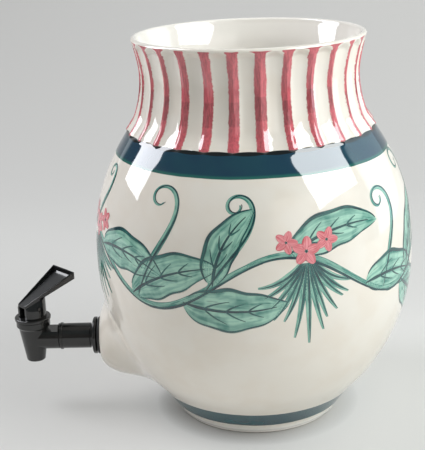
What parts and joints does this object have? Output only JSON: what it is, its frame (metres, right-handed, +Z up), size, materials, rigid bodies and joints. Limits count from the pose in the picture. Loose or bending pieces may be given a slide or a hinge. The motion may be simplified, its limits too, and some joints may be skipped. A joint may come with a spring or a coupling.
{
  "type": "ceramic drink dispenser with push-lever tap",
  "caption": "Round-bellied glazed ceramic drink dispenser with a fluted neck and a hollow boss low on one side, where a black plastic tap lifts a silicone cup off its seat by a rolling lever",
  "frame": {"origin": "centre of the pot's flat underside", "axes": "+Z up, -X the way the tap points, +X away from the tap; the picture looks along +Y, from a little above"},
  "size_m": [0.3106, 0.2402, 0.292],
  "materials": {
    "glaze": "ivory glaze, painted under the gloss",
    "tap_black": "black moulded plastic, lightly polished",
    "rubber_black": "black rubber washer",
    "silicone": "milky silicone",
    "spring_steel": "drawn stainless wire",
    "nylon": "natural nylon"
  },
  "bodies": {
    "root": {"pot": "glaze", "tap_body": "tap_black", "shank": "tap_black", "shank_o_ring": "rubber_black", "outer_washer": "rubber_black", "inner_washer": "rubber_black", "friction_washer": "nylon", "shank_nut": "tap_black", "bonnet": "tap_black", "bonnet_gasket": "rubber_black", "spring": "spring_steel"},
    "seat_cup": {"seat_cup": "silicone"},
    "stem": {"stem": "tap_black"},
    "lever": {"lever": "tap_black", "lever_pin": "tap_black"}
  },
  "joints": [
    {"name": "valve_lift", "type": "slide", "parent": "root", "child": "seat_cup", "axis": [0, 0, 1], "range_m": [0, 0.0029], "stiffness_N_per_m": 400, "springref_m": -0.005, "deforming": ["spring"]},
    {"name": "handle_swivel", "type": "hinge", "parent": "seat_cup", "child": "stem", "pos_m": [-0.1763, 0, 0.0653], "axis": [0, 0, 1], "continuous": true},
    {"name": "lever_pivot", "type": "hinge", "parent": "stem", "child": "lever", "pos_m": [-0.1763, 0, 0.0823], "axis": [-0.7071, 0.7071, 0], "range_deg": [0, 24]}
  ],
  "couplings": [
    {"joint": "lever_pivot", "follows": "valve_lift", "rad_per_m": 140.84}
  ]
}
